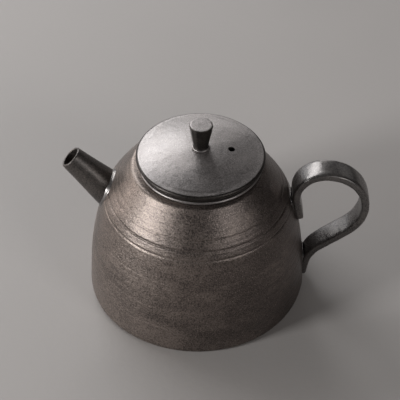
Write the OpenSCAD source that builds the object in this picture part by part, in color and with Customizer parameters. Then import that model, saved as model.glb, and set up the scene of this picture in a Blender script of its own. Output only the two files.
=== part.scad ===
// Round teapot of dark glazed stoneware, with its lid, spout and side handle.
// Origin: centre of the foot, on the surface the pot stands on. +Z is up,
// +X points to the handle and the spout points to -X. Millimetres.

/* [Body] */
// Widest outside diameter, just above the foot
body_d = 94.2; // [90:0.2:98]
// Outside diameter where the wall turns in to the shoulder
break_d = 80; // [76:0.5:82]
// Height at which the wall turns in to the shoulder
break_h = 46; // [44:0.5:48]
// How far the middle of the wall swells past the turn
wall_swell = 5.9; // [4:0.1:6.5]
// Outside diameter of the flat shelf that carries the mouth ring
shelf_d = 54.8; // [53:0.2:56]
// Height of that shelf
shelf_h = 65.2; // [64:0.2:68]
// Thickness of the thrown wall
wall_t = 3; // [2.5:0.1:3.5]
// Thickness of the floor
floor_t = 4.2; // [4:0.1:5]
// Height of the rounded corner at the foot
corner_h = 2; // [1.5:0.1:3]
// Diameter of the turned recess under the foot
foot_recess_d = 76; // [60:1:80]
// Depth of that recess
foot_recess_h = 1.2; // [0.8:0.1:1.6]
// Heights of the rings scored round the shoulder
groove_h = [47.5, 51, 54.7];
// Depths of those rings, from the lowest ring up
groove_depth = [0.35, 0.4, 0.2];

/* [Mouth] */
// Diameter of the round mouth
mouth_d = 42.4; // [42:0.1:44]
// Distance from the pot's axis to the mouth's axis, a throwing error towards the handle
mouth_off = 1; // [0:0.1:1.2]
// Outside diameter of the mouth ring
ring_d = 51.2; // [50:0.1:52]
// Height of the mouth ring
ring_h = 1.4; // [1.2:0.1:2]

/* [Spout] */
// Angle of the spout above the horizontal, in degrees
spout_rise = 46; // [44:0.5:48]
// Angle by which the spout is set off the handle's line, in degrees
spout_turn = 6; // [0:0.5:8]
// Height at which the spout's axis would cross the pot's axis
spout_z = 7.3; // [6:0.1:9]
// Distance along the spout's axis from the pot's axis to the tip
spout_reach = 77; // [75:0.5:79]
// Outside diameter at the tip
tip_d = 9.8; // [9:0.1:10.5]
// Thickness of the spout's wall at the tip
lip_t = 0.9; // [0.8:0.1:1.2]
// Growth of the outside diameter for each millimetre back from the tip
spout_flare = 0.247; // [0.2:0.005:0.27]
// Growth of the bore's diameter for each millimetre back from the tip
bore_flare = 0.17; // [0.14:0.005:0.18]
// Diameter of the hole in the body's wall behind the spout
spout_hole_d = 11.2; // [10:0.1:12]

/* [Strainer] */
// Outside diameter of the pierced dome behind the spout
strainer_d = 18; // [17:0.5:19]
// Thickness of the dome
strainer_t = 1.6; // [1.4:0.1:1.8]
// Length of the straight skirt that carries the dome out to the wall
strainer_skirt = 8; // [6:0.5:9]
// Diameter of each hole in the dome
strainer_hole_d = 1.8; // [1.6:0.1:2]

/* [Handle] */
// Width of the pulled strap
strap_w = 10.6; // [8:0.1:11]
// Thickness of the strap
strap_t = 3.4; // [3:0.1:4.2]
// Radius of the strap's edges
strap_edge = 1; // [0.8:0.1:1.5]
// Distance of the loop's highest point from the pot's axis
loop_x = 52.8; // [52:0.1:54]
// Height of the strap's middle at that point
loop_z = 62.3; // [60:0.1:63]
// Radius of the bend down to the shoulder
top_r = 11.7; // [10.5:0.1:12]
// Radius of the bend at the outside of the loop
out_r = 17.7; // [16:0.1:18.5]
// Radius of the bend below it
low_r = 18.2; // [17:0.1:20]
// Length of the straight run back to the body
run_l = 14.5; // [14:0.1:15]
// Radius of the bend down into the lower tail
back_r = 15.4; // [15:0.1:16]
// Length of the upper tail, pressed against the wall
upper_tail = 10; // [9:0.5:12]
// Length of the lower tail
lower_tail = 7; // [5:0.5:7]

/* [Lid] */
// Diameter of the lid at its widest
lid_d = 53; // [52:0.1:53.5]
// Diameter of the lid's underside
lid_seat_d = 50.6; // [50:0.1:51]
// Height of the lid's rim
rim_h = 3.8; // [3.4:0.1:4.2]
// Height of the lid's crown above its rim
crown_h = 3.5; // [2.5:0.1:4]
// Radius of the lid's rounded top edge
lid_edge = 0.9; // [0.5:0.1:1.2]
// Thickness of the lid's crown
lid_t = 3.4; // [3:0.1:3.6]
// Outside diameter of the locating flange
flange_d = 40.8; // [40:0.1:41]
// Thickness of the locating flange
flange_t = 2.2; // [2:0.1:2.6]
// Depth of the locating flange below the lid's underside
flange_h = 7; // [5:0.5:9]
// Diameter of the vent hole
vent_d = 2.2; // [2:0.1:3]
// Distance of the vent hole from the lid's axis
vent_off = 12.6; // [11:0.1:14]

/* [Knob] */
// Diameter of the knob's flat top
knob_top_d = 9.4; // [8:0.1:10]
// Diameter of the knob's foot
knob_foot_d = 6.1; // [5.5:0.1:6.5]
// Height of the knob above its bead
knob_h = 11; // [10:0.1:12]
// Diameter of the bead under the knob
bead_d = 7.6; // [7:0.1:8]
// Height of that bead
bead_h = 0.9; // [0.8:0.1:1.2]

/* [Joining clay] */
// How far the joining clay stands out round the spout and the handle
luting_w = 1; // [0.6:0.1:1.2]

/* [Hidden] */
$fn = 96;
glaze = [0.30, 0.27, 0.25];
dark_glaze = [0.17, 0.16, 0.16];
bare_clay = [0.36, 0.27, 0.22];
// Overlap of cutting tools past the surface that they cut
cut = 1;
seat_z = shelf_h + ring_h;
rim_z = seat_z + rim_h;
crown_z = rim_z + crown_h;
// Height between the two joints of the handle
handle_split_z = 27;

// Points of a cubic curve through p[0] and p[3], in n steps
function curve(p, n) = [for (i = [0 : n]) let (t = i / n, s = 1 - t)
    s * s * s * p[0] + 3 * s * s * t * p[1] + 3 * s * t * t * p[2] + t * t * t * p[3]];

// Point at distance d from p in the direction of angle a
function polar(p, d, a) = p + d * [cos(a), sin(a)];

// The outline p moved by d to the left of its run
function moved(p, d) = [for (i = [0 : len(p) - 1])
    let (a = p[max(i - 1, 0)], b = p[min(i + 1, len(p) - 1)], u = (b - a) / norm(b - a))
    p[i] + d * [-u.y, u.x]];

foot = [body_d / 2, corner_h];
turn = [break_d / 2, break_h];
shelf = [shelf_d / 2, shelf_h];
corner = curve([foot - [2.2, corner_h], foot - [0.9, corner_h], foot - [0, 1.2], foot], 5);
wall = curve([foot, [turn.x + wall_swell, 0.38 * break_h], [turn.x + wall_swell, 0.565 * break_h], turn], 12);
shoulder = curve([turn, turn + [-1.7, 5.8], shelf + [3.3, -4.7], shelf], 10);
wall_line = concat(wall, [for (i = [1 : len(shoulder) - 1]) shoulder[i]]);
cavity_line = [for (p = moved(wall_line, wall_t)) if (p.y > floor_t + 4 && p.y < shelf_h - wall_t - 0.5) p];

// Solid of the body's outside, grown outwards by g
module body_outside(g = 0) {
    line = g == 0 ? concat(corner, wall_line) : moved(concat(corner, wall_line), -g);
    rotate_extrude()
        polygon(concat([[0, 0]], [for (p = line) [p.x, max(p.y, 0)]], [[0, max([for (p = line) p.y])]]));
}

// Space inside the body, without its mouth
module body_cavity() {
    low = cavity_line[0];
    high = cavity_line[len(cavity_line) - 1];
    bottom = curve([[low.x - 7, floor_t], [low.x - 2, floor_t], [low.x, floor_t + 1], low], 5);
    rotate_extrude()
        polygon(concat([[0, floor_t]], bottom, cavity_line,
                       [[high.x - 1.2, shelf_h - wall_t], [0, shelf_h - wall_t]]));
}

// The part of that space between two heights, which the strainer is fitted to
module cavity_band(low, high) {
    band = [for (p = cavity_line) if (p.y > low && p.y < high) p];
    rotate_extrude()
        polygon(concat([[0, band[0].y]], band, [[0, band[len(band) - 1].y]]));
}

// Radius of the body's outside at height z
function outside_r(z) = lookup(z, [for (p = wall_line) [p.y, p.x]]);

// Places its children at distance s along the spout's axis, with +Z towards the tip
module on_spout_axis(s) {
    translate([0, 0, spout_z])
        rotate([0, 0, 180 - spout_turn])
            rotate([0, 90 - spout_rise, 0])
                translate([0, 0, s])
                    children();
}

spout_root = 50;
spout_l = spout_reach - spout_root;

// Outer cone of the spout, grown by g
module spout_cone(g = 0) {
    on_spout_axis(spout_root)
        cylinder(h = spout_l, d1 = tip_d + spout_flare * spout_l + 2 * g, d2 = tip_d + 2 * g);
}

module body_shell() {
    color(glaze)
        difference() {
            body_outside();
            body_cavity();
            translate([mouth_off, 0, break_h])
                cylinder(h = shelf_h, d = mouth_d);
            translate([0, 0, -cut])
                cylinder(h = foot_recess_h + cut, d = foot_recess_d);
            for (i = [0 : len(groove_h) - 1])
                groove(groove_h[i], groove_depth[i]);
            on_spout_axis(spout_root - 10)
                cylinder(h = 20, d = spout_hole_d);
        }
}

// Cutting ring for one scored line at height z
module groove(z, depth) {
    r = 0.8;
    rotate_extrude()
        translate([outside_r(z) + r - depth, z])
            circle(r = r, $fn = 24);
}

module mouth_ring() {
    color(glaze)
        translate([mouth_off, 0, shelf_h])
            rotate_extrude()
                union() {
                    translate([mouth_d / 2, 0])
                        square([(ring_d - mouth_d - ring_h) / 2, ring_h]);
                    translate([(ring_d - ring_h) / 2, ring_h / 2])
                        circle(d = ring_h, $fn = 24);
                }
}

module spout() {
    color(dark_glaze)
        difference() {
            spout_cone();
            on_spout_axis(spout_root - cut)
                cylinder(h = spout_l + cut, d1 = tip_d - 2 * lip_t + bore_flare * (spout_l + cut),
                         d2 = tip_d - 2 * lip_t);
            on_spout_axis(spout_reach - cut)
                cylinder(h = 2 * cut, d = tip_d - 2 * lip_t);
            body_outside();
        }
}

module spout_luting() {
    color(dark_glaze)
        difference() {
            intersection() {
                spout_cone(luting_w);
                body_outside(luting_w);
            }
            spout_cone();
            body_outside();
        }
}

// Quarter outline of the dome at radius r, from its crown to its rim
function dome_arc(r) = [for (a = [0 : 15 : 90]) r * [sin(a), cos(a)]];

module strainer() {
    rings = [[0, 1], [28, 6], [54, 12]];
    outer = dome_arc(strainer_d / 2);
    inner = dome_arc(strainer_d / 2 - strainer_t);
    skirt = [outer[len(outer) - 1], inner[len(inner) - 1]] - [[0, strainer_skirt], [0, strainer_skirt]];
    color(bare_clay)
        intersection() {
            on_spout_axis(spout_root + 2)
                rotate([180, 0, 0])
                    difference() {
                        rotate_extrude()
                            polygon(concat(outer, skirt, [for (i = [len(inner) - 1 : -1 : 0]) inner[i]]));
                        for (ring = rings)
                            for (i = [0 : ring[1] - 1])
                                rotate([0, ring[0], (i + 0.5) * 360 / ring[1]])
                                    cylinder(h = strainer_d, d = strainer_hole_d, $fn = 24);
                    }
            cavity_band(29, 60);
        }
}

// Cross-section of the strap with rounded edges, thickness along x, width along y
module strap_section(w, t) {
    e = min(strap_edge, t / 2 - 0.1);
    polygon([for (c = [[1, 1, 0], [-1, 1, 90], [-1, -1, 180], [1, -1, 270]]) for (i = [0 : 3])
        [c[0] * (t / 2 - e), c[1] * (w / 2 - e)] + e * [cos(c[2] + 30 * i), sin(c[2] + 30 * i)]]);
}

// The strap is a chain of bends and straight lengths. Every second link is let into its neighbours
// by link_lap, with a section smaller by link_step all round, so that no two faces lie in one surface.
link_lap = 0.3;
link_step = 0.03;

// Bend of the strap about the point c in the plane of the handle
module bend(c, r, from, sweep, w, t) {
    translate([c.x, 0, c.y])
        rotate([90, 0, 0])
            rotate([0, 0, from])
                rotate_extrude(angle = sweep)
                    translate([r, 0])
                        strap_section(w, t);
}

// The same bend, let into its neighbours
module let_in_bend(c, r, from, sweep, w, t) {
    lap_a = link_lap / r * 180 / PI;
    bend(c, r, from - lap_a, sweep + 2 * lap_a, w - 2 * link_step, t - 2 * link_step);
}

// Straight length of the strap from the point p along angle a, let into its neighbours
module run(p, a, l, w, t) {
    translate([p.x, 0, p.y])
        rotate([90, 0, 0])
            rotate([0, 0, a])
                translate([-link_lap, 0, 0])
                    rotate([90, 0, 90])
                        linear_extrude(l + 2 * link_lap)
                            strap_section(w - 2 * link_step, t - 2 * link_step);
}

top_turn = 101;
low_turn = 50;
back_turn = 45;
top_c = [loop_x, loop_z - top_r];
out_c = [loop_x, loop_z - out_r];
low_c = out_c + [out_r - low_r, 0];
run_a = -90 - low_turn;
run_start = polar(low_c, low_r, -low_turn);
run_end = polar(run_start, run_l, run_a);
back_c = polar(run_end, back_r, run_a + 90);

// The whole strap before it is pressed on the body, grown by g
module strap(g = 0) {
    w = strap_w + 2 * g;
    t = strap_t + 2 * g;
    upper_a = 180 + top_turn;
    lower_a = run_a + back_turn;
    run(polar(top_c, top_r, 90 + top_turn), upper_a, upper_tail + g, w, t);
    bend(top_c, top_r, 90, top_turn, w, t);
    let_in_bend(out_c, out_r, 0, 90, w, t);
    bend(low_c, low_r, -low_turn, low_turn, w, t);
    run(run_start, run_a, run_l, w, t);
    bend(back_c, back_r, run_a - 90, back_turn, w, t);
    run(polar(back_c, back_r, lower_a - 90), lower_a, lower_tail + g, w, t);
}

module handle_strap() {
    color(dark_glaze)
        difference() {
            strap();
            body_outside();
        }
}

// Joining clay between the strap and the wall, from height low to height high
module handle_luting(low, high) {
    difference() {
        intersection() {
            strap(luting_w);
            body_outside(luting_w);
            translate([0, -body_d / 2, low])
                cube([body_d, body_d, high - low]);
        }
        strap();
        body_outside();
    }
}

module handle_luting_upper() {
    color(dark_glaze)
        handle_luting(handle_split_z, shelf_h);
}

module handle_luting_lower() {
    color(dark_glaze)
        handle_luting(cut, handle_split_z);
}

// Height of the lid's crown at radius r
function crown(r) = crown_z - crown_h * pow(r / (lid_d / 2 - lid_edge), 1.8);

module lid_disc() {
    r = lid_d / 2;
    edge_c = [r - lid_edge, rim_z - lid_edge];
    inner_r = flange_d / 2 - flange_t;
    top = [for (i = [0 : 10]) let (x = bead_d / 2 + (edge_c.x - bead_d / 2) * (1 - i / 10)) [x, crown(x)]];
    edge = [for (a = [0 : 15 : 75]) edge_c + lid_edge * [cos(a), sin(a)]];
    under = [for (i = [0 : 6]) let (x = (inner_r - 0.8) * i / 6) [x, crown(x) - lid_t]];
    color(glaze)
        translate([mouth_off, 0, 0])
            difference() {
                rotate_extrude()
                    polygon(concat(under, [[inner_r, seat_z]], [[lid_seat_d / 2, seat_z]], edge, top,
                                   [[0, crown(bead_d / 2)]]));
                translate([vent_off, 0, seat_z])
                    cylinder(h = rim_h + crown_h, d = vent_d, $fn = 32);
            }
}

module lid_flange() {
    color(bare_clay)
        translate([mouth_off, 0, seat_z - flange_h])
            difference() {
                cylinder(h = flange_h, d = flange_d);
                translate([0, 0, -cut])
                    cylinder(h = flange_h + 2 * cut, d = flange_d - 2 * flange_t);
            }
}

bead_z = crown(bead_d / 2);

module knob_bead() {
    color(glaze)
        translate([mouth_off, 0, bead_z])
            rotate_extrude()
                union() {
                    square([(bead_d - bead_h) / 2, bead_h]);
                    translate([(bead_d - bead_h) / 2, bead_h / 2])
                        circle(d = bead_h, $fn = 24);
                }
}

module knob() {
    edge = 0.5;
    color(dark_glaze)
        translate([mouth_off, 0, bead_z + bead_h])
            rotate_extrude()
                polygon(concat([[0, 0], [knob_foot_d / 2, 0]],
                               [for (a = [0 : 30 : 90])
                                   [knob_top_d / 2 - edge, knob_h - edge] + edge * [cos(a), sin(a)]],
                               [[0, knob_h]]));
}

body_shell();
mouth_ring();
spout();
spout_luting();
strainer();
handle_strap();
handle_luting_upper();
handle_luting_lower();
lid_disc();
lid_flange();
knob_bead();
knob();
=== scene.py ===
"""Looks of a small glazed stoneware teapot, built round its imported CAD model.

Lengths are in millimetres until add_mesh() turns them into metres. The frame is the CAD model's:
origin at the centre of the foot, +Z up, the handle towards +X, the spout towards -X.
"""
import math

import bmesh
import bpy
import numpy as np
from mathutils import Matrix, Vector


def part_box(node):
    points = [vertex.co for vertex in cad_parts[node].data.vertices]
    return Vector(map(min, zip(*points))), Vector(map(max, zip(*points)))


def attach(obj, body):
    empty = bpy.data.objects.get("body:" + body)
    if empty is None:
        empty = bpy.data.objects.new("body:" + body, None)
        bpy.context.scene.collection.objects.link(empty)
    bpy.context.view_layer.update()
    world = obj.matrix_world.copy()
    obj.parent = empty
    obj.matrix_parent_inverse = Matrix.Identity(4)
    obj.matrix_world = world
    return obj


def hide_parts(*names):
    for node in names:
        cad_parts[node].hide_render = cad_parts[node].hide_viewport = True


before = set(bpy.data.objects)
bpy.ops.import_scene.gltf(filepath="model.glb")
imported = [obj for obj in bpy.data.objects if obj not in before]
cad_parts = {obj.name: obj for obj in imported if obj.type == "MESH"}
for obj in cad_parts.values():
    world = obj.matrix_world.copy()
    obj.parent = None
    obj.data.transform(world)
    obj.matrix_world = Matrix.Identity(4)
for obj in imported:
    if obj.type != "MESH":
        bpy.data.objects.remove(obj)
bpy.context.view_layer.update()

MM = 0.001
TAU = 2 * math.pi


def box_mm(node):
    """Lowest and highest corners of a CAD node, in millimetres."""
    low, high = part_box(node)
    return np.array(low) / MM, np.array(high) / MM


# Places and sizes that the frame gives
body_low, body_high = box_mm("body_shell")
ring_low, ring_high = box_mm("mouth_ring")
lid_low, lid_high = box_mm("lid_disc")
flange_low, flange_high = box_mm("lid_flange")
bead_low, bead_high = box_mm("knob_bead")
knob_low, knob_high = box_mm("knob")
strap_low, strap_high = box_mm("handle_strap")

BODY_R = (body_high[1] - body_low[1]) / 2
SHELF_Z = body_high[2]
MOUTH_X = (ring_low[0] + ring_high[0]) / 2
RING_R = (ring_high[1] - ring_low[1]) / 2
SEAT_Z = ring_high[2]
LID_R = (lid_high[1] - lid_low[1]) / 2
FLANGE_R = (flange_high[1] - flange_low[1]) / 2
FLANGE_LOW = flange_low[2]
BEAD_R = (bead_high[1] - bead_low[1]) / 2
KNOB_R = (knob_high[1] - knob_low[1]) / 2
STRAP_W = strap_high[1] - strap_low[1]

# Body: the wall turns in to the shoulder at the break, and the shelf carries the mouth ring
WALL_T = 3.0
FLOOR_T = 4.2
CORNER_H = 2.0
BREAK_R = 40.0
BREAK_Z = 46.0
WALL_SWELL = 5.9
SHELF_R = 27.4
MOUTH_R = 21.2
FOOT_RECESS_R = 38.0
FOOT_RECESS_H = 1.2
# height, depth and width of each ring scored round the shoulder
GROOVES = [(47.5, 0.26, 0.32), (51.0, 0.34, 0.32), (54.7, 0.13, 0.4), (57.2, 0.06, 0.5)]

# Spout: a cone on an axis that crosses the pot's own axis
SPOUT_RISE = math.radians(46)
SPOUT_TURN = math.radians(6)
SPOUT_Z = 7.3
SPOUT_REACH = 77.0
TIP_R = 4.9
LIP_T = 0.9
SPOUT_FLARE = 0.1235
BORE_FLARE = 0.085
SPOUT_HOLE_R = 5.6
STRAINER_R = 9.0
STRAINER_T = 1.6
STRAINER_SKIRT = 8.0
STRAINER_S = 52.0  # distance of the dome's centre along the spout's axis
STRAINER_HOLE_R = 0.9
STRAINER_RINGS = [(0, 1), (28, 6), (54, 12)]  # tilt off the axis in degrees, number of holes

# Handle: the strap's middle line is a chain of bends in the plane y = 0
LOOP_X = 52.8
LOOP_Z = 62.3
TOP_R = 11.7
OUT_R = 17.7
LOW_R = 18.2
RUN_L = 14.5
BACK_R = 15.4
TOP_TURN = 101
LOW_TURN = 50
BACK_TURN = 45
UPPER_TAIL = 10.0
LOWER_TAIL = 7.0
STRAP_T = 3.4
PATCH_HALF_W = 4.6
UPPER_PATCH = (36.7, 49.5)  # heights between which each tail is pressed on the wall
LOWER_PATCH = (4.9, 16.8)

# Lid, with a vent drawn 0.2 mm wider all round than the CAD's
LID_SEAT_R = 25.3
RIM_H = 3.8
CROWN_H = 3.5
LID_T = 3.4
FLANGE_T = 2.2
VENT_R = 1.3
VENT_OFF = 12.6
LID_TOP_Z = SEAT_Z + RIM_H + CROWN_H
LID_CORNER_R = 25.6
KNOB_FOOT_R = 3.05

# Vertices round each turned mesh
BODY_COLS = 288
LID_COLS = 216
FLANGE_COLS = 144
BEAD_COLS = 96
KNOB_COLS = 120
SPOUT_COLS = 96
SPOUT_CLAY_COLS = 160
PATCH_COLS = 140

# Camera: what it looks at and from how far, then its angles in degrees and its lens in millimetres
CAMERA_X = 0.98
CAMERA_TARGET_Z = 44.24
CAMERA_DISTANCE = 482.3
CAMERA_ELEVATION = 43.43
CAMERA_ROLL = 0.861
CAMERA_LENS = 102.6


# ---------------------------------------------------------------- curves and small tools

def bezier(points, n):
    """n + 1 points of the cubic curve through the first and last of four points."""
    p = np.array(points, float)
    t = np.linspace(0, 1, n + 1)[:, None]
    s = 1 - t
    return s**3 * p[0] + 3 * s * s * t * p[1] + 3 * s * t * t * p[2] + t**3 * p[3]


def even(points, step):
    """The same line with its points about step apart."""
    p = np.array(points, float)
    run = np.concatenate([[0], np.cumsum(np.linalg.norm(np.diff(p, axis=0), axis=1))])
    n = max(2, int(round(run[-1] / step)))
    s = np.linspace(0, run[-1], n + 1)
    return np.stack([np.interp(s, run, p[:, k]) for k in range(p.shape[1])], 1)


def arc(centre, radius, start, end, n):
    """Points on an arc from angle start to angle end, in degrees."""
    a = np.radians(np.linspace(start, end, n + 1))
    return np.array(centre) + radius * np.stack([np.cos(a), np.sin(a)], 1)


def moved(line, d):
    """The line moved by d to the left of its run."""
    u = np.gradient(line, axis=0)
    u /= np.linalg.norm(u, axis=1)[:, None]
    return line + d * np.stack([-u[:, 1], u[:, 0]], 1)


def smooth(x, low, high):
    """0 below low, 1 above high, and a smooth step between."""
    t = np.clip((np.asarray(x, float) - low) / (high - low), 0, 1)
    return t * t * (3 - 2 * t)


def waves(a, b, rows):
    """Sum of sines of a and b: each row is (height, turns in a, turns in b, phase)."""
    return sum(h * np.sin(p * a + q * b + c) for h, p, q, c in rows)


def add_mesh(name, verts, faces, body, mats, replaces=(), face_mats=None, sharp=None):
    """A piece from vertices in millimetres, riding on a CAD body."""
    mesh = bpy.data.meshes.new(name)
    mesh.from_pydata([tuple(v) for v in np.asarray(verts, float) * MM], [], faces)
    mesh.validate()
    shape = bmesh.new()
    shape.from_mesh(mesh)
    bmesh.ops.recalc_face_normals(shape, faces=shape.faces)
    shape.to_mesh(mesh)
    shape.free()
    for m in mats:
        mesh.materials.append(m)
    if face_mats is not None:
        mesh.polygons.foreach_set("material_index", face_mats)
    mesh.polygons.foreach_set("use_smooth", [True] * len(mesh.polygons))
    mesh.update()
    if sharp is not None:
        mesh.set_sharp_from_angle(angle=math.radians(sharp))
    obj = bpy.data.objects.new(name, mesh)
    bpy.context.scene.collection.objects.link(obj)
    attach(obj, body)
    if replaces:
        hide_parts(*replaces)
    return obj


def grid_faces(rows, cols, wrap_rows=False, start=0):
    """Quads of a grid whose rows are closed rings of cols vertices."""
    faces = []
    for i in range(rows if wrap_rows else rows - 1):
        a, b = start + i * cols, start + ((i + 1) % rows) * cols
        for j in range(cols):
            k = (j + 1) % cols
            faces.append((a + j, a + k, b + k, b + j))
    return faces


def revolve(profile, cols, centre=(0, 0), closed=False, shape=None):
    """Vertices and faces of a turned shape. The profile's points are (r, z) or (r, z, share of
    centre), run with the solid on the left seen with r to the right. Points at r = 0 are poles."""
    p = np.array(profile, float)
    share = p[:, 2] if p.shape[1] > 2 else np.ones(len(p))
    a = np.arange(cols) * TAU / cols
    rings = [i for i in range(len(p)) if p[i, 0] > 1e-6]
    r = np.repeat(p[rings, 0][:, None], cols, 1)
    z = np.repeat(p[rings, 1][:, None], cols, 1)
    if shape is not None:
        r, z = shape(r, z, np.repeat(a[None], len(rings), 0), np.array(rings))
    x = r * np.cos(a) + centre[0] * share[rings][:, None]
    y = r * np.sin(a) + centre[1] * share[rings][:, None]
    verts = [tuple(v) for v in np.stack([x, y, z], -1).reshape(-1, 3)]
    faces = grid_faces(len(rings), cols, wrap_rows=closed)
    if not closed:
        for pole, ring, flip in ((0, 0, True), (len(p) - 1, len(rings) - 1, False)):
            if p[pole, 0] > 1e-6:
                continue
            tip = len(verts)
            verts.append((centre[0] * share[pole], centre[1] * share[pole], p[pole, 1]))
            for j in range(cols):
                a0, a1 = ring * cols + j, ring * cols + (j + 1) % cols
                faces.append((tip, a1, a0) if flip else (tip, a0, a1))
    return verts, faces


def cut(obj, tool_verts, tool_faces, kind=0):
    """Takes a closed tool shape away from obj, in its mesh. The new faces get obj's material kind."""
    mesh = bpy.data.meshes.new("tool")
    mesh.from_pydata([tuple(v) for v in np.asarray(tool_verts, float) * MM], [], tool_faces)
    for m in obj.data.materials:
        mesh.materials.append(m)
    mesh.polygons.foreach_set("material_index", [kind] * len(mesh.polygons))
    tool = bpy.data.objects.new("tool", mesh)
    bpy.context.scene.collection.objects.link(tool)
    mod = obj.modifiers.new("cut", "BOOLEAN")
    mod.operation = "DIFFERENCE"
    mod.solver = "EXACT"
    mod.object = tool
    bpy.context.view_layer.update()
    result = bpy.data.meshes.new_from_object(obj.evaluated_get(bpy.context.evaluated_depsgraph_get()))
    result.name = obj.name
    obj.modifiers.clear()
    obj.data = result
    bpy.data.objects.remove(tool)
    bpy.data.meshes.remove(mesh)


def tube_tool(start, end, radius, cols=48):
    """Vertices and faces of a closed cylinder between two points, as a cutting tool."""
    start, end = np.array(start, float), np.array(end, float)
    axis = (end - start) / np.linalg.norm(end - start)
    side = np.cross(axis, [0.3, 0.9, 0.1])
    side /= np.linalg.norm(side)
    up = np.cross(axis, side)
    a = np.arange(cols) * TAU / cols
    ring = radius * (np.cos(a)[:, None] * side + np.sin(a)[:, None] * up)
    verts = np.vstack([start + ring, end + ring])
    faces = grid_faces(2, cols) + [tuple(range(cols))[::-1], tuple(range(cols, 2 * cols))]
    return verts, faces


# ---------------------------------------------------------------- the glazes and the clay

class Surface:
    """A material under construction, with the few kinds of node that the glazes and the clay use.
    Sizes are in millimetres on the object."""

    def __init__(self, name):
        self.material = bpy.data.materials.new(name)
        self.material.use_nodes = True
        self.tree = self.material.node_tree
        self.shader = self.tree.nodes["Principled BSDF"]
        self.place = self.tree.nodes.new("ShaderNodeTexCoord").outputs["Object"]

    def put(self, value, socket):
        """Sets a socket to a constant, or links it to another node's output."""
        if isinstance(value, bpy.types.NodeSocket):
            self.tree.links.new(value, socket)
        else:
            socket.default_value = value

    def noise(self, size, detail=2.0, rough=0.5, squash=1.0, twist=0.0):
        """Soft noise with features about size across, squash times flatter along Z."""
        place = self.tree.nodes.new("ShaderNodeMapping")
        place.inputs["Location"].default_value = (0.37 * size, 0.11 * size, 0.53 * size)
        place.inputs["Scale"].default_value = (1 / (size * MM),) * 2 + (squash / (size * MM),)
        self.put(self.place, place.inputs["Vector"])
        node = self.tree.nodes.new("ShaderNodeTexNoise")
        node.inputs["Scale"].default_value = 1.0
        node.inputs["Detail"].default_value = detail
        node.inputs["Roughness"].default_value = rough
        node.inputs["Distortion"].default_value = twist
        self.put(place.outputs["Vector"], node.inputs["Vector"])
        return node.outputs["Fac"]

    def spread(self, value, low, high, start=0.0, end=1.0):
        """Carries low..high over to start..end, with soft ends."""
        node = self.tree.nodes.new("ShaderNodeMapRange")
        node.interpolation_type = "SMOOTHSTEP"
        for socket, number in zip(("From Min", "From Max", "To Min", "To Max"), (low, high, start, end)):
            node.inputs[socket].default_value = number
        self.put(value, node.inputs["Value"])
        return node.outputs["Result"]

    def sum(self, *parts):
        """Sum of (value, weight) pairs."""
        total = None
        for value, weight in parts:
            node = self.tree.nodes.new("ShaderNodeMath")
            node.operation = "MULTIPLY_ADD"
            self.put(value, node.inputs[0])
            node.inputs[1].default_value = weight
            self.put(0.0 if total is None else total, node.inputs[2])
            total = node.outputs[0]
        return total

    def mix(self, share, a, b):
        """Colour a where share is 0 and colour b where it is 1."""
        node = self.tree.nodes.new("ShaderNodeMix")
        node.data_type = "RGBA"
        self.put(share, node.inputs[0])
        for value, socket in ((a, node.inputs[6]), (b, node.inputs[7])):
            self.put(value if isinstance(value, bpy.types.NodeSocket) else (*value, 1.0), socket)
        return node.outputs[2]

    def bump(self, height, depth, under=None):
        """Normal of a surface whose relief is depth millimetres where height goes from 0 to 1."""
        node = self.tree.nodes.new("ShaderNodeBump")
        node.inputs["Strength"].default_value = 1.0
        node.inputs["Distance"].default_value = depth * MM
        self.put(height, node.inputs["Height"])
        if under is not None:
            self.put(under, node.inputs["Normal"])
        return node.outputs["Normal"]

    def finish(self, colour, roughness, normal, metallic, coat=0.0, coat_roughness=0.3):
        """Sets the shader and gives the material."""
        self.put(colour, self.shader.inputs["Base Color"])
        self.put(roughness, self.shader.inputs["Roughness"])
        self.put(normal, self.shader.inputs["Normal"])
        self.shader.inputs["Metallic"].default_value = metallic
        self.shader.inputs["Coat Weight"].default_value = coat
        self.shader.inputs["Coat Roughness"].default_value = coat_roughness
        return self.material


def metal_glaze(name, deep, plain, bronze, rough, sparkle, metallic=0.85, painted_side_light=0.0):
    """Dry metallic glaze: cloudy bronze and graphite, with a fine crystalline grain that glints.
    The last argument paints the spout's side lighter and more bronze and the handle's side darker: painted
    light from the left."""
    s = Surface(name)
    cloud = s.noise(17, detail=4, rough=0.6, squash=1.6, twist=0.4)
    band = s.noise(60, detail=3, squash=16)
    fleck = s.noise(0.62, detail=3, rough=0.65)
    grain = s.noise(0.36, detail=2, rough=0.6)
    across = s.tree.nodes.new("ShaderNodeSeparateXYZ")
    s.put(s.place, across.inputs[0])
    # painted light: the tone is pushed lighter and more bronze towards -X, the spout's side, and darker
    # towards +X, the handle's side
    tone = s.sum((cloud, 0.70), (band, 0.30), (fleck, 0.30),
                 (s.spread(across.outputs[0], -0.05, 0.05), -painted_side_light), (1.0, painted_side_light / 2))
    colour = s.mix(s.spread(tone, 0.50, 0.84), plain, bronze)
    colour = s.mix(s.spread(s.sum((fleck, 0.8), (cloud, 0.2)), 0.58, 0.36, 0.0, 0.8), colour, deep)
    glint = tuple(2.2 * c for c in bronze)
    colour = s.mix(s.spread(grain, 0.56, 0.74, 0.0, 0.6), colour, glint)
    roughness = s.sum((s.spread(cloud, 0.3, 0.7, *rough), 1.0), (s.spread(fleck, 0.35, 0.7), 0.10))
    normal = s.bump(grain, 0.5 * sparkle)
    normal = s.bump(fleck, sparkle, under=normal)
    normal = s.bump(s.noise(3.4, detail=2), 0.10, under=normal)
    return s.finish(colour, roughness, normal, metallic)


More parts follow.
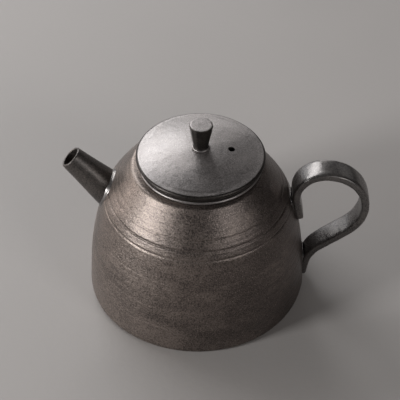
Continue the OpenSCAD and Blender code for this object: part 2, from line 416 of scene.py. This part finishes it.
def dark_inside(name):
    """Thin dark glaze inside the pot, with the clay showing through on the ridges."""
    s = Surface(name)
    cloud = s.noise(9, detail=4, squash=3)
    fleck = s.noise(0.8, detail=3, rough=0.6)
    colour = s.mix(s.spread(cloud, 0.35, 0.7), (0.045, 0.036, 0.031), (0.085, 0.062, 0.048))
    colour = s.mix(s.spread(fleck, 0.6, 0.75, 0.0, 0.6), colour, (0.16, 0.115, 0.085))
    normal = s.bump(fleck, 0.06, under=s.bump(cloud, 0.2))
    return s.finish(colour, s.spread(cloud, 0.3, 0.7, 0.42, 0.6), normal, 0.15, coat=0.25)


def raw_clay(name):
    """Bare reddish-brown stoneware with sand in it."""
    s = Surface(name)
    cloud = s.noise(12, detail=4)
    sand = s.noise(0.7, detail=3, rough=0.7)
    speck = s.noise(1.6, detail=1)
    colour = s.mix(s.spread(cloud, 0.3, 0.7), (0.155, 0.092, 0.062), (0.215, 0.135, 0.094))
    colour = s.mix(s.spread(sand, 0.60, 0.72, 0.0, 0.7), colour, (0.34, 0.25, 0.19))
    colour = s.mix(s.spread(speck, 0.68, 0.74), colour, (0.03, 0.024, 0.02))
    normal = s.bump(sand, 0.12, under=s.bump(cloud, 0.3))
    return s.finish(colour, s.spread(sand, 0.3, 0.7, 0.72, 0.9), normal, 0.0)


# the body glaze carries painted light: lighter and more bronze on the spout's side, darker on the handle's
# side
body_glaze = metal_glaze("body_glaze", deep=(0.052, 0.044, 0.040), plain=(0.136, 0.112, 0.102),
                         bronze=(0.242, 0.200, 0.176), rough=(0.31, 0.40), sparkle=0.110, painted_side_light=0.36)
lid_glaze = metal_glaze("lid_glaze", deep=(0.172, 0.156, 0.151), plain=(0.255, 0.239, 0.234),
                        bronze=(0.300, 0.275, 0.265), rough=(0.32, 0.40), sparkle=0.030)
trim_glaze = metal_glaze("trim_glaze", deep=(0.100, 0.094, 0.092), plain=(0.165, 0.156, 0.152),
                         bronze=(0.205, 0.188, 0.178), rough=(0.25, 0.31), sparkle=0.018)
# painted shade: a darker copy of the trim glaze, for the spout's outside
spout_painted_shade_glaze = metal_glaze("spout_painted_shade_glaze", deep=(0.050, 0.045, 0.043), plain=(0.105, 0.097, 0.093),
                          bronze=(0.145, 0.126, 0.114), rough=(0.37, 0.44), sparkle=0.030)
# painted shade: a far darker copy of the lid's glaze, for the lid's rim and the knob's side
painted_shade_glaze = metal_glaze("painted_shade_glaze", deep=(0.016, 0.014, 0.013), plain=(0.038, 0.034, 0.032),
                         bronze=(0.060, 0.052, 0.047), rough=(0.34, 0.42), sparkle=0.025)
inner_glaze = dark_inside("inner_glaze")
bare_clay = raw_clay("bare_clay")


# ---------------------------------------------------------------- the body

corner_line = bezier([(BODY_R - 2.2, 0), (BODY_R - 0.9, 0),
                      (BODY_R, CORNER_H - 1.2), (BODY_R, CORNER_H)], 12)
wall_line = np.vstack([
    bezier([(BODY_R, CORNER_H), (BREAK_R + WALL_SWELL, 0.38 * BREAK_Z),
            (BREAK_R + WALL_SWELL, 0.565 * BREAK_Z), (BREAK_R, BREAK_Z)], 120),
    bezier([(BREAK_R, BREAK_Z), (BREAK_R - 1.7, BREAK_Z + 5.8),
            (SHELF_R + 3.3, SHELF_Z - 4.7), (SHELF_R, SHELF_Z)], 80)[1:]])
for _ in range(40):  # rounds the turn at the break
    wall_line[1:-1] = (wall_line[:-2] + 2 * wall_line[1:-1] + wall_line[2:]) / 4
inner_line = moved(wall_line, WALL_T)


def outer_r(z):
    """Radius of the body's outside at height z."""
    return np.interp(z, wall_line[:, 1], wall_line[:, 0])


def inner_r(z):
    """Radius of the body's inside at height z."""
    return np.interp(z, inner_line[:, 1], inner_line[:, 0])


def wall_normal(p):
    """Outward normal of the body's outside at the points p."""
    p = np.asarray(p, float)
    slope = (outer_r(p[:, 2] + 0.3) - outer_r(p[:, 2] - 0.3)) / 0.6
    r = np.hypot(p[:, 0], p[:, 1])
    n = np.stack([p[:, 0] / r, p[:, 1] / r, -slope], 1)
    return n / np.linalg.norm(n, axis=1)[:, None]


def outside_relief(z, a):
    """How far the outside stands off its true line: scored rings, throwing rings, a slow wobble."""
    d = waves(z, a, [(0.10, 0.05, 2, 0.4), (0.07, 0.11, 3, 2.0), (0.05, 0.02, 5, 1.1)])
    low = smooth(z, 4, 9) * (1 - smooth(z, 33, 44))
    d += low * (0.75 + 0.25 * np.sin(2 * a + 0.06 * z)) * waves(z, a, [
        (0.034, TAU / 3.3, 1, 0.0), (0.020, TAU / 2.1, -1, 1.3), (0.012, TAU / 1.25, 1, 0.5)])
    d += waves(z, a, [(0.012, TAU / 1.9, 1, 0.3), (0.008, TAU / 1.1, -2, 2.1)])
    wander = waves(z, a, [(0.12, 0, 1, 0.7), (0.06, 0, 3, 1.9)])
    for height, depth, width in GROOVES:
        near = (z + wander - height) / width
        d -= depth * (0.85 + 0.15 * np.sin(2 * a + height)) * np.exp(-near**2)
        d += 0.05 * depth * (np.exp(-(near - 1.9) ** 2) + np.exp(-(near + 1.9) ** 2))
    return d


def inside_relief(z, a):
    """Finger ridges of the throwing, left inside."""
    return waves(z, a, [(0.16, TAU / 4.4, 1, 0.0), (0.07, TAU / 2.3, 1, 1.2), (0.12, 0.08, 3, 0.6)])


def make_body():
    """The thrown wall with its foot, its mouth, its inside and the hole behind the spout."""
    foot = np.array([(0, FOOT_RECESS_H), (14, FOOT_RECESS_H), (28, FOOT_RECESS_H),
                     (FOOT_RECESS_R - 0.7, FOOT_RECESS_H), (FOOT_RECESS_R - 0.15, FOOT_RECESS_H - 0.3),
                     (FOOT_RECESS_R, 0.3), (FOOT_RECESS_R + 0.35, 0), (42, 0)])
    edge_start = wall_line[np.argmax(wall_line[:, 1] > SHELF_Z - 1.1)]
    edge = bezier([edge_start, edge_start + (-0.45, 0.65),
                   (SHELF_R - 0.3, SHELF_Z), (SHELF_R - 1.1, SHELF_Z)], 8)
    below = wall_line[(wall_line[:, 1] > CORNER_H) & (wall_line[:, 1] < edge_start[1])]
    outside = even(np.vstack([corner_line, below, edge]), 0.28)
    shelf = np.array([(RING_R - 0.6, SHELF_Z), (MOUTH_R + 3, SHELF_Z), (MOUTH_R, SHELF_Z),
                      (MOUTH_R, SHELF_Z - 1.5), (MOUTH_R, SHELF_Z - WALL_T + 0.4)])
    ceiling_z = SHELF_Z - WALL_T
    cavity = inner_line[(inner_line[:, 1] > FLOOR_T + 4) & (inner_line[:, 1] < ceiling_z - 0.5)][::-1]
    ceiling = np.array([(MOUTH_R + 0.4, ceiling_z), (cavity[0, 0] - 1.2, ceiling_z)])
    low = cavity[-1]
    bottom = bezier([low, (low[0], FLOOR_T + 1), (low[0] - 2, FLOOR_T), (low[0] - 7, FLOOR_T)], 14)
    inside = even(np.vstack([ceiling, cavity, bottom[1:], (0.8, FLOOR_T)]), 1.0)
    profile = np.vstack([foot, outside, shelf, inside, (0, FLOOR_T)])

    starts = np.cumsum([0, len(foot), len(outside), len(shelf), len(inside)])
    index = np.arange(len(profile))
    is_outside = (index >= starts[1]) & (index < starts[2])
    is_inside = (index >= starts[3]) & (index < starts[4])
    # the mouth and its neck are set off the axis, and the walls are not
    share = np.zeros(len(profile))
    share[starts[2]:starts[3]] = (0.2, 0.7, 1, 1, 1)
    share[is_inside] = (1 - smooth(inside[:, 0], MOUTH_R + 1, MOUTH_R + 6)) * (inside[:, 1] > BREAK_Z)
    run = np.gradient(profile, axis=0)
    run /= np.linalg.norm(run, axis=1)[:, None]
    normal = np.stack([run[:, 1], -run[:, 0]], 1)
    height = profile[:, 1]
    outer_share = is_outside * smooth(height, 0.2, 2) * (1 - 0.8 * smooth(height, SHELF_Z - 2, SHELF_Z))

    def shape(r, z, a, rings):
        d = outer_share[rings][:, None] * outside_relief(z, a)
        d = d + 0.9 * is_inside[rings][:, None] * (1 - smooth(z, 58, 62)) * inside_relief(z + r, a)
        return r + d * normal[rings, 0][:, None], z + d * normal[rings, 1][:, None]

    verts, faces = revolve(np.column_stack([profile, share]), BODY_COLS, (MOUTH_X, 0), shape=shape)
    # rings start after the pole at the foot's centre: bare foot, glazed outside, darker inside
    ring_of_face = np.repeat(np.arange(len(faces) // BODY_COLS), BODY_COLS) + 1
    ring_of_face = np.concatenate([ring_of_face, np.zeros(len(faces) - len(ring_of_face), int)])
    kind = np.where(ring_of_face < starts[1] + 3, 1, np.where(ring_of_face < starts[3] - 3, 0, 2))
    last = len(faces) - BODY_COLS
    kind[last - BODY_COLS:last] = 1
    kind[last:] = 2
    body = add_mesh("body_shell_fine", verts, faces, "pot",
                    [body_glaze, bare_clay, inner_glaze], replaces=["body_shell"],
                    face_mats=kind.tolist(), sharp=48)
    cut(body, *tube_tool(on_spout_axis(44), on_spout_axis(62), SPOUT_HOLE_R), kind=2)
    return body


# ---------------------------------------------------------------- the spout and its strainer

SPOUT_DIR = np.array([-math.cos(SPOUT_TURN) * math.cos(SPOUT_RISE),
                      math.sin(SPOUT_TURN) * math.cos(SPOUT_RISE), math.sin(SPOUT_RISE)])
SPOUT_SIDE = np.array([math.sin(SPOUT_TURN), math.cos(SPOUT_TURN), 0.0])
SPOUT_UP = np.cross(SPOUT_SIDE, SPOUT_DIR)


def on_spout_axis(s):
    """Point at distance s along the spout's axis."""
    return np.array([0, 0, SPOUT_Z]) + s * SPOUT_DIR


def round_spout(s, r, a):
    """Points at distance s along the spout's axis, r off it and at angle a about it."""
    s, r, a = np.broadcast_arrays(s, r, a)
    return (on_spout_axis(0) + s[..., None] * SPOUT_DIR
            + (r * np.cos(a))[..., None] * SPOUT_SIDE + (r * np.sin(a))[..., None] * SPOUT_UP)


def spout_r(s):
    """Outside radius of the spout at distance s along its axis."""
    return TIP_R + SPOUT_FLARE * (SPOUT_REACH - s)


def bore_r(s):
    """Radius of the spout's bore at distance s along its axis."""
    return TIP_R - LIP_T + BORE_FLARE * (SPOUT_REACH - s)


def root_of(radius, a):
    """Distance along the axis at which a cone of that radius comes out of the body's wall."""
    low, high = np.full(len(a), 45.0), np.full(len(a), 70.0)
    for _ in range(40):
        mid = (low + high) / 2
        p = round_spout(mid, radius(mid), a)
        out = np.hypot(p[:, 0], p[:, 1]) > outer_r(p[:, 2])
        low, high = np.where(out, low, mid), np.where(out, mid, high)
    return low


def make_spout():
    """The tapered tube, open at both ends, from the wall to its rounded lip."""
    a = np.arange(SPOUT_COLS) * TAU / SPOUT_COLS
    lip = LIP_T / 2
    share = np.linspace(0, 1, 70)[:, None]
    root = root_of(spout_r, a) - 0.5
    s = root + (SPOUT_REACH - lip - root) * share
    stand_off = waves(s, a, [(0.008, TAU / 2.6, 1, 0.2), (0.05, 0.31, 2, 0.8), (0.035, 0.17, 3, 2.2)])
    outside = round_spout(s, spout_r(s) + stand_off * smooth(SPOUT_REACH - s, 0, 2), a)
    turn = np.linspace(0.15, 0.85, 8)[:, None] * math.pi
    mid_r = TIP_R - lip
    dip = waves(a, a, [(0.07, 2, 0, 0.5), (0.04, 3, 0, 1.9)])
    rim_s = SPOUT_REACH - lip + lip * np.sin(turn) + dip * np.sin(turn)
    rim = round_spout(rim_s, mid_r + lip * np.cos(turn), a)
    end = root_of(bore_r, a) - 0.5
    s = SPOUT_REACH - lip + (end - SPOUT_REACH + lip) * np.linspace(0, 1, 40)[:, None]
    inside = round_spout(s, bore_r(s), a)
    rows = np.concatenate([outside, rim, inside])
    faces = grid_faces(len(rows), SPOUT_COLS, wrap_rows=True)
    in_bore = np.arange(len(rows)) > len(outside) + len(rim) + 3
    kind = np.repeat(in_bore.astype(int), SPOUT_COLS)
    # the spout's outside is in the darker copy of the trim glaze, painted shade
    return add_mesh("spout_fine", rows.reshape(-1, 3), faces, "pot",
                    [spout_painted_shade_glaze, inner_glaze], replaces=["spout"], face_mats=kind.tolist(), sharp=60)


def joining_clay(name, line, along, node, size):
    """Ring of joining clay laid in the corner between the body and a piece on it. The closed line runs
    where the two meet, and along is the direction in which the piece leaves it."""
    n = wall_normal(line)
    tangent = np.roll(line, -1, 0) - np.roll(line, 1, 0)
    tangent /= np.linalg.norm(tangent, axis=1)[:, None]
    away = np.cross(tangent, n)
    middle = line.mean(0)
    away *= np.sign(np.sum(away * (line - middle), 1))[:, None]
    turn = np.arange(len(line)) * TAU / len(line)
    size = size * (1 + waves(turn, turn, [(0.12, 3, 0, 0.4), (0.08, 5, 0, 1.7), (0.06, 9, 0, 2.9)]))[:, None]
    top = line + along * size
    foot = line + away * size
    knee = line + (along + away) * size * 0.30
    rows = [(1 - t) ** 2 * top + 2 * t * (1 - t) * knee + t * t * foot for t in np.linspace(0, 1, 9)]
    rows[0] = rows[0] - away * 0.15
    rows[-1] = rows[-1] - n * 0.15
    rows.append(line - away * 0.5 - n * 0.5)
    faces = grid_faces(len(rows), len(line), wrap_rows=True)
    return add_mesh(name, np.array(rows).reshape(-1, 3), faces, "pot", [trim_glaze],
                    replaces=[node], sharp=70)


def make_spout_clay():
    """Joining clay round the root of the spout."""
    a = np.arange(SPOUT_CLAY_COLS) * TAU / SPOUT_CLAY_COLS
    root = root_of(spout_r, a)
    line = round_spout(root, spout_r(root), a)
    along = round_spout(root + 1, spout_r(root + 1), a) - line
    return joining_clay("spout_luting_fine", line, along, "spout_luting", 1.0)


def make_strainer():
    """Pierced dome over the inner end of the spout, with a skirt that runs into the wall."""
    quarter = np.linspace(0, math.pi / 2, 17)[:, None]
    dome = np.hstack([np.sin(quarter), np.cos(quarter)])
    inner_r0 = STRAINER_R - STRAINER_T
    skirt = np.linspace(0, -STRAINER_SKIRT, 9)[1:, None]
    outer = np.vstack([dome * STRAINER_R, np.hstack([np.full_like(skirt, STRAINER_R), skirt])])
    inner = np.vstack([dome * inner_r0, np.hstack([np.full_like(skirt, inner_r0), skirt])])
    verts, faces = revolve(np.vstack([outer, inner[::-1]]), 72)
    local = np.array(verts)
    a = np.arctan2(local[:, 1], local[:, 0])
    p = round_spout(STRAINER_S - local[:, 2], np.hypot(local[:, 0], local[:, 1]), a)
    # what runs past the inner side of the wall is kept within the wall's thickness
    r = np.hypot(p[:, 0], p[:, 1])
    limit = inner_r(p[:, 2]) + 0.8
    p[:, :2] *= np.minimum(1, limit / r)[:, None]
    strainer = add_mesh("strainer_fine", p, faces, "pot", [inner_glaze],
                        replaces=["strainer"], sharp=50)
    tool_verts, tool_faces = [], []
    middle = on_spout_axis(STRAINER_S)
    for tilt, count in STRAINER_RINGS:
        for i in range(count):
            t, turn = math.radians(tilt), (i + 0.5) * TAU / count
            way = round_spout(-math.cos(t), math.sin(t), turn) - on_spout_axis(0)
            mouth = middle + way * STRAINER_R
            if np.hypot(mouth[0], mouth[1]) > inner_r(mouth[2]) - 1.2:
                continue  # this one would open into the wall
            v, f = tube_tool(middle + way * (inner_r0 - 1.5), middle + way * (STRAINER_R + 1.5),
                             STRAINER_HOLE_R, 20)
            tool_faces += [tuple(k + len(tool_verts) for k in face) for face in f]
            tool_verts += [tuple(x) for x in v]
    cut(strainer, tool_verts, tool_faces)
    return strainer


# ---------------------------------------------------------------- the handle

def step_from(p, d, angle):
    """The point d from p in the direction of an angle in degrees."""
    a = math.radians(angle)
    return np.array(p) + d * np.array([math.cos(a), math.sin(a)])


def strap_middle():
    """The strap's middle line, from the upper tail's end over the loop to the lower tail's end."""
    top_c = (LOOP_X, LOOP_Z - TOP_R)
    out_c = (LOOP_X, LOOP_Z - OUT_R)
    low_c = (LOOP_X + OUT_R - LOW_R, LOOP_Z - OUT_R)
    run_way = -90 - LOW_TURN
    run_start = step_from(low_c, LOW_R, -LOW_TURN)
    run_end = step_from(run_start, RUN_L, run_way)
    back_c = step_from(run_end, BACK_R, run_way + 90)
    tail_way = run_way + BACK_TURN
    top_start = step_from(top_c, TOP_R, 90 + TOP_TURN)
    line = np.vstack([
        step_from(top_start, UPPER_TAIL, 180 + TOP_TURN),
        arc(top_c, TOP_R, 90 + TOP_TURN, 90, 30),
        arc(out_c, OUT_R, 90, 0, 30)[1:],
        arc(low_c, LOW_R, 0, -LOW_TURN, 20)[1:],
        run_end,
        arc(back_c, BACK_R, run_way + 270, run_way + 270 + BACK_TURN, 16)[1:],
        step_from(step_from(back_c, BACK_R, run_way + 270 + BACK_TURN), LOWER_TAIL, tail_way)])
    line = even(line, 0.6)
    for _ in range(6):  # softens the joints between the bends
        line[1:-1] = (line[:-2] + 2 * line[1:-1] + line[2:]) / 4
    return line


def strap_section(n=60):
    """Unit outline of the strap: rows of (across its thickness, across its width), -1 to 1 each."""
    a = np.arange(n) * TAU / n
    u, v = np.cos(a), np.sin(a)
    return np.sign(u) * np.abs(u) ** 0.45, np.sign(v) * np.abs(v) ** 0.27


def make_handle():
    """The pulled strap, with its two tails laid on the wall."""
    line = strap_middle()
    run = np.concatenate([[0], np.cumsum(np.linalg.norm(np.diff(line, axis=0), axis=1))])
    left = run[-1] - run
    way = np.gradient(line, axis=0)
    way /= np.linalg.norm(way, axis=1)[:, None]
    outward = np.stack([-way[:, 1], way[:, 0]], 1)
    # the upper tail is cut off square, and the lower tail is pressed out thin and rounded
    cut_end = 1 - np.sqrt(1 - (1 - np.clip(run / 0.9, 0, 1)) ** 2)
    thumb = 1 - np.sqrt(1 - (1 - np.clip(left / 2.6, 0, 1)) ** 2)
    half_t = STRAP_T / 2 * (1 - 0.10 * (1 - smooth(left, 0, 7))) - 0.6 * cut_end - 0.7 * thumb
    half_w = STRAP_W / 2 - 0.6 * cut_end - 2.0 * thumb
    half_w = half_w * (1 + waves(run, run, [(0.012, 0.11, 0, 0.3), (0.008, 0.29, 0, 1.0)]))
    half_w = half_w * (1 - 0.04 * smooth(run, 40, 75))
    u, v = strap_section()
    rows = []
    for i in range(len(line)):
        crown = 0.16 * (1 - v**2) * (u > 0) - 0.10 * (1 - v**2) * (u < 0)
        t = half_t[i] * u + crown * smooth(half_t[i], 0.5, 1.5) - 0.05
        t = t + waves(run[i], v, [(0.05, 0.35, 1.2, 0.0), (0.03, 0.9, 2.0, 1.0)])
        x, z = line[i, 0] + outward[i, 0] * t, line[i, 1] + outward[i, 1] * t
        rows.append(np.stack([x, half_w[i] * v, z], 1))
    p = np.array(rows)
    # what would run into the wall is laid on it
    r = np.hypot(p[..., 0], p[..., 1])
    p[..., :2] *= (np.maximum(r, outer_r(p[..., 2]) - 0.3) / r)[..., None]
    rows_n, cols = p.shape[:2]
    verts = [tuple(x) for x in p.reshape(-1, 3)]
    faces = grid_faces(rows_n, cols)
    for row in (0, rows_n - 1):
        verts.append(tuple(p[row].mean(0)))
        faces += [(row * cols + j, row * cols + (j + 1) % cols, len(verts) - 1) for j in range(cols)]
    return add_mesh("handle_strap_fine", verts, faces, "pot", [trim_glaze],
                    replaces=["handle_strap"], sharp=60)


def handle_clay(name, node, patch, size):
    """Joining clay round the patch of the wall, between two heights, where a tail is pressed on."""
    low, high = patch
    a = np.arange(PATCH_COLS) * TAU / PATCH_COLS
    y = PATCH_HALF_W * np.sign(np.cos(a)) * np.abs(np.cos(a)) ** 0.45
    z = (low + high) / 2 + (high - low) / 2 * np.sign(np.sin(a)) * np.abs(np.sin(a)) ** 0.45
    line = np.stack([np.sqrt(outer_r(z) ** 2 - y**2), y, z], 1)
    return joining_clay(name, line, wall_normal(line), node, size)


# ---------------------------------------------------------------- the mouth, the lid and the knob

def make_mouth_ring():
    """The rounded ring that the lid sits on."""
    edge = SEAT_Z - SHELF_Z
    bottom = SHELF_Z - 0.3
    profile = np.vstack([(MOUTH_R, bottom), (RING_R - edge / 2, bottom),
                         arc((RING_R - edge / 2, SHELF_Z + edge / 2), edge / 2, -80, 80, 14),
                         (RING_R - 1.6, SEAT_Z), (MOUTH_R + 0.5, SEAT_Z),
                         arc((MOUTH_R + 0.35, SEAT_Z - 0.35), 0.35, 110, 180, 6)])

    def shape(r, z, a, rings):
        return r + waves(a, a, [(0.05, 2, 0, 0.5), (0.04, 5, 0, 1.1)]), z

    verts, faces = revolve(profile, BODY_COLS, (MOUTH_X, 0), closed=True, shape=shape)
    return add_mesh("mouth_ring_fine", verts, faces, "pot", [lid_glaze],
                    replaces=["mouth_ring"], sharp=55)


def crown(r):
    """Height of the lid's top at radius r."""
    return LID_TOP_Z - CROWN_H * (np.asarray(r, float) / LID_CORNER_R) ** 1.8


def make_lid():
    """The lid's disc, with its rim painted dark as shade, its bare underside and its vent."""
    hollow_r = FLANGE_R - FLANGE_T
    under_r = np.linspace(0, hollow_r - 0.8, 12)
    under = np.column_stack([under_r, crown(under_r) - LID_T])
    edge_z = SEAT_Z + RIM_H - 0.85
    skirt = bezier([(LID_SEAT_R + 0.15, SEAT_Z + 0.35), (LID_SEAT_R + 0.2, SEAT_Z + 1.6),
                    (LID_R - 0.35, edge_z - 1.0), (LID_R - 0.06, edge_z - 0.35)], 14)
    roll = bezier([(LID_R - 0.10, edge_z + 0.22), (LID_R - 0.40, edge_z + 0.95),
                   (LID_R - 1.1, crown(LID_R - 2.0) - 0.15), (LID_R - 2.0, crown(LID_R - 2.0))], 12)
    top_r = np.linspace(LID_R - 2.0, 0, 46)[1:]
    top = np.column_stack([top_r, crown(top_r)])
    profile = np.vstack([under, (hollow_r, SEAT_Z), (LID_SEAT_R - 0.3, SEAT_Z), skirt,
                         (LID_R, edge_z), roll, top])
    first_top = len(under) + 2 + len(skirt)

    def shape(r, z, a, rings):
        on_top = (rings > first_top)[:, None]
        at_edge = r > LID_R - 3
        fade = smooth(LID_R - r, 0.3, 2.5)
        turning = waves(r, a, [
            (0.006, TAU / 1.7, 1, 0.0), (0.004, TAU / 0.95, -1, 0.7), (0.05, 0.21, 2, 1.1)])
        out = at_edge * waves(a, a, [(0.05, 2, 0, 0.9), (0.035, 3, 0, 2.0), (0.02, 7, 0, 0.1)])
        up = at_edge * waves(a, a, [(0.06, 2, 0, 2.4), (0.03, 5, 0, 0)])
        return r + out, z + on_top * fade * turning + up

    verts, faces = revolve(profile, LID_COLS, (MOUTH_X, 0), shape=shape)
    # rings start after the pole under the crown: bare hollow, rim painted dark as shade, glazed top
    ring_of_face = np.repeat(np.arange(len(faces) // LID_COLS), LID_COLS) + 1
    kind = (ring_of_face < len(under) + 1).astype(int)
    kind[(ring_of_face >= len(under) + 1) & (ring_of_face < first_top + 7)] = 2
    kind[-2 * LID_COLS:-LID_COLS] = 1
    kind[-LID_COLS:] = 0
    lid = add_mesh("lid_disc_fine", verts, faces, "lid", [lid_glaze, bare_clay, painted_shade_glaze],
                   replaces=["lid_disc"], face_mats=kind.tolist(), sharp=48)
    rim = float(crown(VENT_OFF))
    tool = [(0, SEAT_Z - 2), (VENT_R, SEAT_Z - 2), (VENT_R, rim - 0.35), (VENT_R + 0.06, rim - 0.15),
            (VENT_R + 0.25, rim + 0.1), (VENT_R + 0.25, rim + 2), (0, rim + 2)]
    cut(lid, *revolve(tool, 40, (MOUTH_X + VENT_OFF, 0)), kind=2)
    return lid


def make_flange():
    """The ring under the lid that keeps it in the mouth."""
    inside = FLANGE_R - FLANGE_T
    low = FLANGE_LOW
    top = SEAT_Z + 0.3
    edge = 0.6
    profile = np.vstack([arc((inside + edge, low + edge), edge, 180, 270, 6),
                         arc((FLANGE_R - edge, low + edge), edge, 270, 360, 6),
                         (FLANGE_R, low + 3), (FLANGE_R, top), (inside, top), (inside, low + 3)])
    profile = even(np.vstack([profile, profile[0]]), 0.5)[:-1]

    def shape(r, z, a, rings):
        return r + waves(z, a, [(0.03, TAU / 1.6, 1, 0), (0.03, 0, 3, 0.5)]), z

    verts, faces = revolve(profile, FLANGE_COLS, (MOUTH_X, 0), closed=True, shape=shape)
    return add_mesh("lid_flange_fine", verts, faces, "lid", [bare_clay],
                    replaces=["lid_flange"], sharp=60)


def make_bead():
    """The thin bead of clay under the knob."""
    low, high = bead_low[2], bead_high[2]
    half = (high - low) / 2
    profile = np.vstack([(0, low - 0.3), (BEAD_R - 0.7, low - 0.3),
                         arc((BEAD_R - half, low + half), half, -75, 90, 12),
                         (KNOB_FOOT_R + 0.2, high - 0.02), (0, high)])
    verts, faces = revolve(profile, BEAD_COLS, (MOUTH_X, 0))
    return add_mesh("knob_bead_fine", verts, faces, "lid", [lid_glaze],
                    replaces=["knob_bead"], sharp=60)


def make_knob():
    """The small cone that is widest at its top, painted dark at the side as shade and lighter on top."""
    low, high = knob_low[2], knob_high[2]
    side = bezier([(KNOB_FOOT_R, low + 0.35), (KNOB_FOOT_R + 0.62, low + 3.8),
                   (KNOB_R - 0.45, high - 3.8), (KNOB_R - 0.02, high - 0.8)], 22)
    profile = np.vstack([(0, low - 0.2), (KNOB_FOOT_R + 0.25, low - 0.2),
                         (KNOB_FOOT_R + 0.2, low + 0.1), side,
                         arc((KNOB_R - 0.42, high - 0.42), 0.42, 0, 80, 8),
                         (KNOB_R - 1.0, high - 0.02), (KNOB_R - 2.0, high),
                         (1.2, high + 0.02), (0, high + 0.02)])

    def shape(r, z, a, rings):
        facets = waves(z, a, [(0.010, 0.4, 2, 0.3), (0.009, 0.02, 13, 1.0)])
        return r * (1 + facets), z + waves(r, a, [(0.012, 2.0, 2, 0.1)])

    verts, faces = revolve(profile, KNOB_COLS, (MOUTH_X, 0), shape=shape)
    # side and foot painted dark as shade, lighter top; the last two rings of faces close the foot and the
    # top
    ring_of_face = np.repeat(np.arange(len(faces) // KNOB_COLS), KNOB_COLS) + 1
    kind = (ring_of_face > 3 + len(side) + 5).astype(int)
    kind[-2 * KNOB_COLS:-KNOB_COLS] = 0
    kind[-KNOB_COLS:] = 1
    return add_mesh("knob_fine", verts, faces, "lid", [painted_shade_glaze, lid_glaze],
                    replaces=["knob"], face_mats=kind.tolist(), sharp=50)


make_body()
make_mouth_ring()
make_spout()
make_spout_clay()
make_strainer()
make_handle()
handle_clay("handle_luting_upper_fine", "handle_luting_upper", UPPER_PATCH, 0.85)
handle_clay("handle_luting_lower_fine", "handle_luting_lower", LOWER_PATCH, 0.8)
make_lid()
make_flange()
make_bead()
make_knob()


# ---------------------------------------------------------------- the studio

def floor_paint():
    """Plain pale matt paint."""
    s = Surface("floor_paint")
    cloud = s.noise(180, detail=3)
    colour = s.mix(s.spread(cloud, 0.3, 0.7), (0.36, 0.335, 0.32), (0.40, 0.373, 0.357))
    return s.finish(colour, s.spread(cloud, 0.3, 0.7, 0.6, 0.75), s.bump(s.noise(2.5, detail=3), 0.05), 0.0)


def soft_light(name, azimuth, elevation, distance, size, power, colour=(1, 1, 1)):
    """Rectangular light that faces the middle of the pot. Azimuth 0 is the camera's side, 90 the
    handle's. Sizes and the distance are in metres, and the power is in watts."""
    a, e = math.radians(azimuth), math.radians(elevation)
    way = Vector((math.sin(a) * math.cos(e), -math.cos(a) * math.cos(e), math.sin(e)))
    light = bpy.data.lights.new(name, "AREA")
    light.shape = "RECTANGLE"
    light.size, light.size_y = size
    light.energy = power
    light.color = colour
    lamp = bpy.data.objects.new(name, light)
    lamp.location = Vector((0, 0, 0.045)) + way * distance
    lamp.rotation_euler = (-way).to_track_quat("-Z", "Y").to_euler()
    bpy.context.scene.collection.objects.link(lamp)


def make_floor(reach=4):
    """Square floor that runs reach metres each way."""
    mesh = bpy.data.meshes.new("floor")
    corners = [(-reach, -reach, 0), (reach, -reach, 0), (reach, reach, 0), (-reach, reach, 0)]
    mesh.from_pydata(corners, [], [(0, 1, 2, 3)])
    mesh.materials.append(floor_paint())
    floor = bpy.data.objects.new("floor", mesh)
    bpy.context.scene.collection.objects.link(floor)


make_floor()

soft_light("key", -63, 17, 0.9, (0.20, 0.26), 5.9, (0.975, 0.99, 1.0))
soft_light("second", 45, 27, 1.0, (0.30, 0.22), 2.0)
soft_light("window", -146, 37, 1.3, (1.1, 0.45), 11.6, (0.97, 0.985, 1.0))
soft_light("window_low", -142, 12, 1.3, (1.2, 0.42), 1.9, (0.92, 0.96, 1.0))
soft_light("left_fill", -108, 9, 1.4, (0.6, 0.42), 3.9, (1.0, 0.935, 0.9))
soft_light("back_low", 176, 18, 1.4, (0.5, 0.35), 1.5)
soft_light("back_right", 140, 24, 1.4, (0.6, 0.5), 0.35)

world = bpy.data.worlds.new("studio")
world.use_nodes = True
world.node_tree.nodes["Background"].inputs["Color"].default_value = (1.0, 0.93, 0.90, 1)
world.node_tree.nodes["Background"].inputs["Strength"].default_value = 0.04
bpy.context.scene.world = world


# ---------------------------------------------------------------- the camera

def place_camera():
    """Looks down on the pot along +Y, with a slight roll."""
    elevation, roll = math.radians(CAMERA_ELEVATION), math.radians(CAMERA_ROLL)
    back = Vector((0, -math.cos(elevation), math.sin(elevation)))
    right0, up0 = Vector((1, 0, 0)), Vector((0, math.sin(elevation), math.cos(elevation)))
    right = math.cos(roll) * right0 + math.sin(roll) * up0
    up = -math.sin(roll) * right0 + math.cos(roll) * up0
    target = Vector((CAMERA_X, 0, CAMERA_TARGET_Z)) * MM
    camera = bpy.data.objects.new("camera", bpy.data.cameras.new("camera"))
    camera.data.lens = CAMERA_LENS
    camera.data.sensor_width = 36
    place = Matrix((right, up, back)).transposed().to_4x4()
    place.translation = target + back * (CAMERA_DISTANCE * MM)
    camera.matrix_world = place
    bpy.context.scene.collection.objects.link(camera)
    bpy.context.scene.camera = camera


place_camera()
bpy.context.scene.view_settings.view_transform = "Standard"
